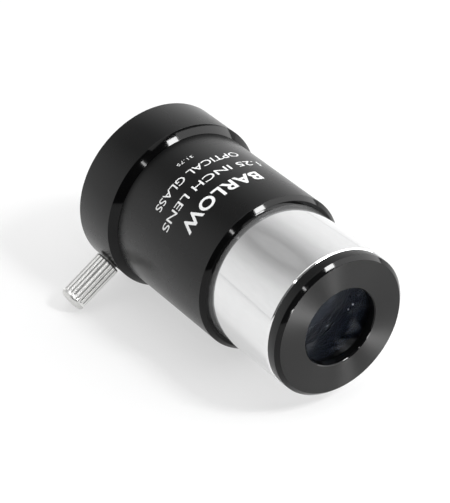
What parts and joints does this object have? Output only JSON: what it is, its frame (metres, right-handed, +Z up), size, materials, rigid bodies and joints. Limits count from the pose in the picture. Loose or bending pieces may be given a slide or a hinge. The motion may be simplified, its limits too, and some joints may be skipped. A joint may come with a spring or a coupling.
{
  "type": "barlow lens",
  "caption": "Push-fit telescope Barlow lens lying on its side: chromed nosepiece, black body, wide eyepiece collar with a fluted clamping screw.",
  "frame": {"origin": "on the surface that the collar rests on, under the middle of the object's box", "axes": "+Y along the optical axis from the nosepiece towards the eyepiece, +Z up, thumbscrew towards -X and down"},
  "size_m": [0.0462, 0.0654, 0.0381],
  "materials": {
    "black_anodised": "satin",
    "chrome_plate": "polished",
    "flat_black": "matte",
    "coated_glass": "polished",
    "nickel_plate": "polished",
    "white_nylon": "matte",
    "white_print": "matte"
  },
  "bodies": {
    "housing": {"body_tube": "black_anodised", "eyepiece_collar": "black_anodised", "nosepiece_tube": "chrome_plate", "baffle_ring": "flat_black"},
    "doublet": {"crown_element": "coated_glass", "flint_element": "coated_glass"},
    "cell": {"lens_cell": "black_anodised", "lens_retaining_ring": "flat_black"},
    "tip": {"screw_tip": "white_nylon"},
    "screw": {"thumbscrew": "nickel_plate"}
  },
  "joints": [
    {"name": "screw_travel", "type": "slide", "parent": "housing", "child": "tip", "axis": [-0.8396, 0, -0.5432], "range_m": [-0.00025, 0.0025]},
    {"name": "screw_turn", "type": "hinge", "parent": "tip", "child": "screw", "pos_m": [0.0041, 0.02621, 0.01904], "axis": [-0.8396, 0, -0.5432], "range_deg": [-129, 1287]},
    {"name": "cell_travel", "type": "slide", "parent": "housing", "child": "doublet", "axis": [0, -1, 0], "range_m": [0, 0.0039]},
    {"name": "cell_turn", "type": "hinge", "parent": "doublet", "child": "cell", "pos_m": [0.0041, 0, 0.01904], "axis": [0, -1, 0], "range_deg": [0, 2340]}
  ],
  "couplings": [
    {"joint": "screw_turn", "follows": "screw_travel", "rad_per_m": 8976},
    {"joint": "cell_travel", "follows": "cell_turn", "m_per_rad": 0.00009549}
  ]
}
